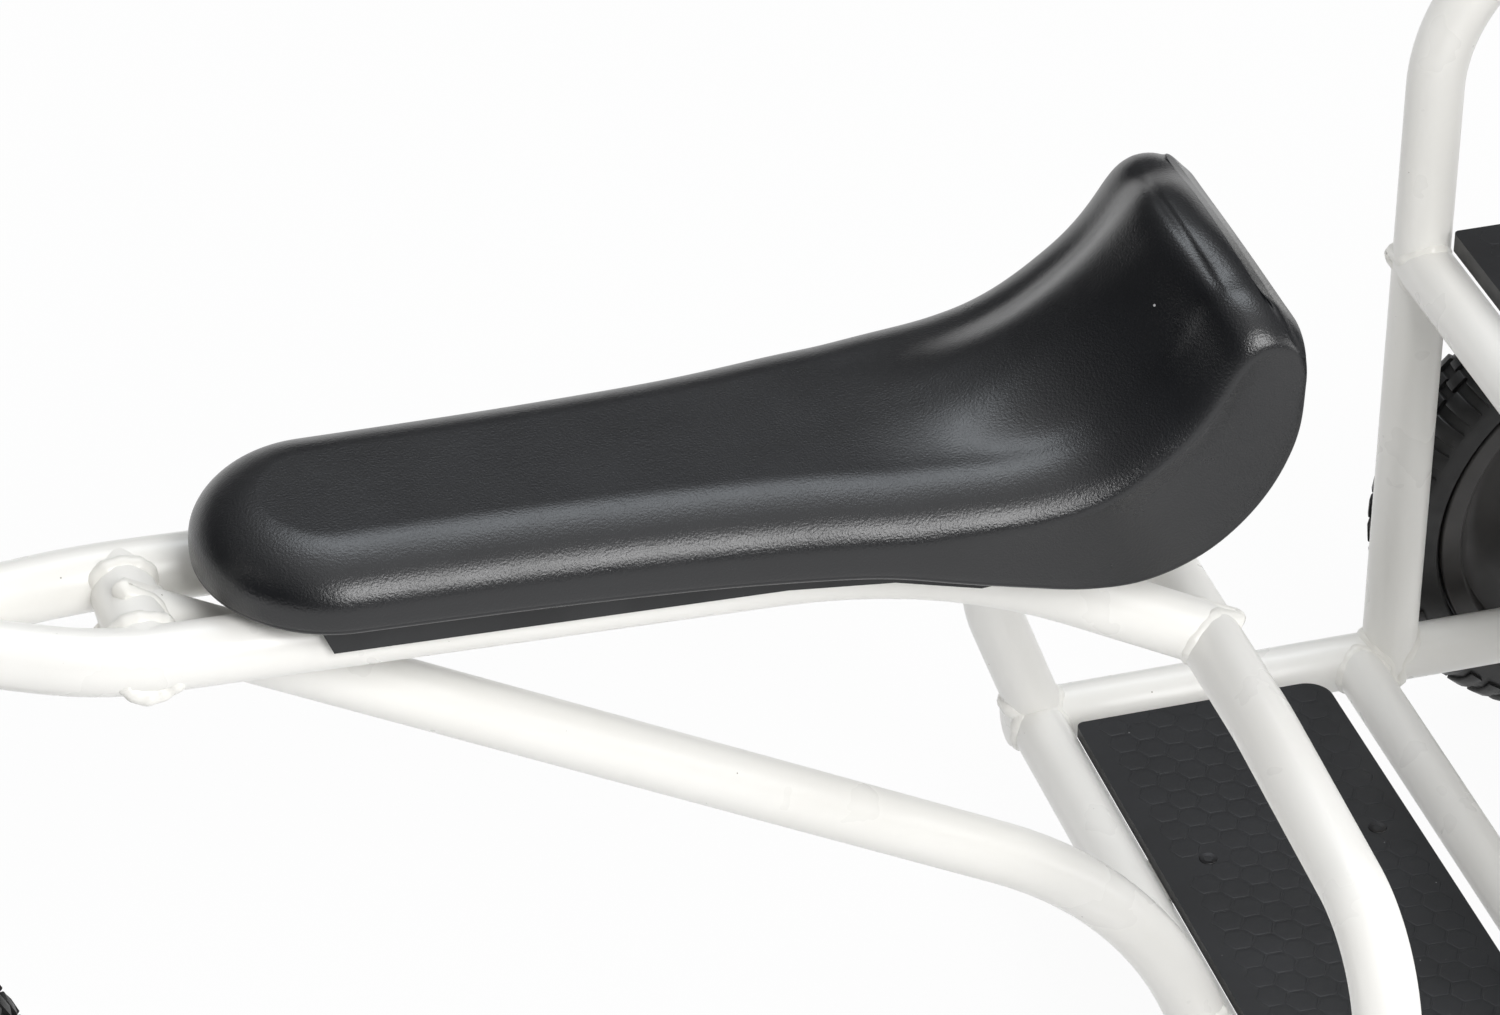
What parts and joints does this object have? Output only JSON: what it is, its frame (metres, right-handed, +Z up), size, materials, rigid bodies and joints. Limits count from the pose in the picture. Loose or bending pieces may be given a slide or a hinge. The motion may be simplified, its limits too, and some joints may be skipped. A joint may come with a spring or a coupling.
{
  "type": "three-seat tricycle",
  "caption": "Tube-frame pedal tricycle for small children: a rider's saddle in front and a bench with foot board, grab bar and armrests for passengers behind.",
  "frame": {"origin": "on the ground, midway between left and right and midway along the overall length", "axes": "+X to the rear along the length, +Y to the rider's right, +Z up"},
  "size_m": [1.3256, 0.6832, 0.6815],
  "materials": {
    "powder_coat": "glossy off-white powder coat",
    "saddle_foam": "satin grained integral-skin foam",
    "black_plastic": "matt moulded",
    "film_faced_board": "black film with a raised hexagon pattern",
    "tyre_rubber": "matt",
    "zinc_steel": "zinc plated",
    "wheel_rim": "satin moulded plastic"
  },
  "bodies": {
    "frame": {"axle_bracket_left": "powder_coat", "axle_bracket_right": "powder_coat", "axle_nut_left": "zinc_steel", "axle_nut_right": "zinc_steel", "backrest_board": "film_faced_board", "backrest_strip_left": "powder_coat", "backrest_strip_right": "powder_coat", "backrest_tube": "powder_coat", "bench_board": "film_faced_board", "bench_front_tube": "powder_coat", "bench_rear_tube": "powder_coat", "bench_strip_left": "powder_coat", "bench_strip_right": "powder_coat", "down_tube": "powder_coat", "foot_board": "film_faced_board", "foot_strip_left": "powder_coat", "foot_strip_right": "powder_coat", "grab_hoop": "powder_coat", "head_bearing_lower": "zinc_steel", "head_bearing_upper": "zinc_steel", "head_tube": "powder_coat", "platform_front_tube": "powder_coat", "platform_rear_tube": "powder_coat", "platform_side_tube_left": "powder_coat", "platform_side_tube_right": "powder_coat", "rail_cross_tube": "powder_coat", "rail_left": "powder_coat", "rail_right": "powder_coat", "rear_axle": "zinc_steel", "rear_axle_tube": "powder_coat", "saddle": "saddle_foam", "saddle_base_plate": "black_plastic", "saddle_clamp_front": "zinc_steel", "saddle_clamp_rear": "zinc_steel", "side_loop_left": "powder_coat", "side_loop_right": "powder_coat"},
    "steering": {"crank_bearing_left": "zinc_steel", "crank_bearing_right": "zinc_steel", "fork_crown": "powder_coat", "fork_leg_left": "powder_coat", "fork_leg_right": "powder_coat", "grip_left": "black_plastic", "grip_right": "black_plastic", "handlebar": "powder_coat", "headset_nut": "zinc_steel", "steerer": "zinc_steel", "stem": "powder_coat"},
    "front_wheel": {"crank_axle": "zinc_steel", "crank_left": "zinc_steel", "crank_right": "zinc_steel", "front_rim": "wheel_rim", "front_tyre": "tyre_rubber"},
    "pedal_left": {"pedal_left": "black_plastic"},
    "pedal_right": {"pedal_right": "black_plastic"},
    "rear_wheel_left": {"rear_tyre_left": "tyre_rubber", "rear_rim_left": "wheel_rim", "hub_bush_left": "black_plastic"},
    "rear_wheel_right": {"rear_tyre_right": "tyre_rubber", "rear_rim_right": "wheel_rim", "hub_bush_right": "black_plastic"}
  },
  "joints": [
    {"name": "steering_turn", "type": "hinge", "parent": "frame", "child": "steering", "pos_m": [-0.49598, 0, 0.15292], "axis": [0.1736, 0, 0.9848], "range_deg": [-45, 45]},
    {"name": "front_wheel_spin", "type": "hinge", "parent": "steering", "child": "front_wheel", "pos_m": [-0.5078, 0, 0.155], "axis": [0, 1, 0], "continuous": true},
    {"name": "pedal_left_spin", "type": "hinge", "parent": "front_wheel", "child": "pedal_left", "pos_m": [-0.6078, -0.114, 0.155], "axis": [0, 1, 0], "continuous": true},
    {"name": "pedal_right_spin", "type": "hinge", "parent": "front_wheel", "child": "pedal_right", "pos_m": [-0.4078, 0.114, 0.155], "axis": [0, 1, 0], "continuous": true},
    {"name": "rear_wheel_left_spin", "type": "hinge", "parent": "frame", "child": "rear_wheel_left", "pos_m": [0.5116, -0.3, 0.128], "axis": [0, 1, 0], "continuous": true},
    {"name": "rear_wheel_right_spin", "type": "hinge", "parent": "frame", "child": "rear_wheel_right", "pos_m": [0.5116, 0.3, 0.128], "axis": [0, 1, 0], "continuous": true}
  ]
}
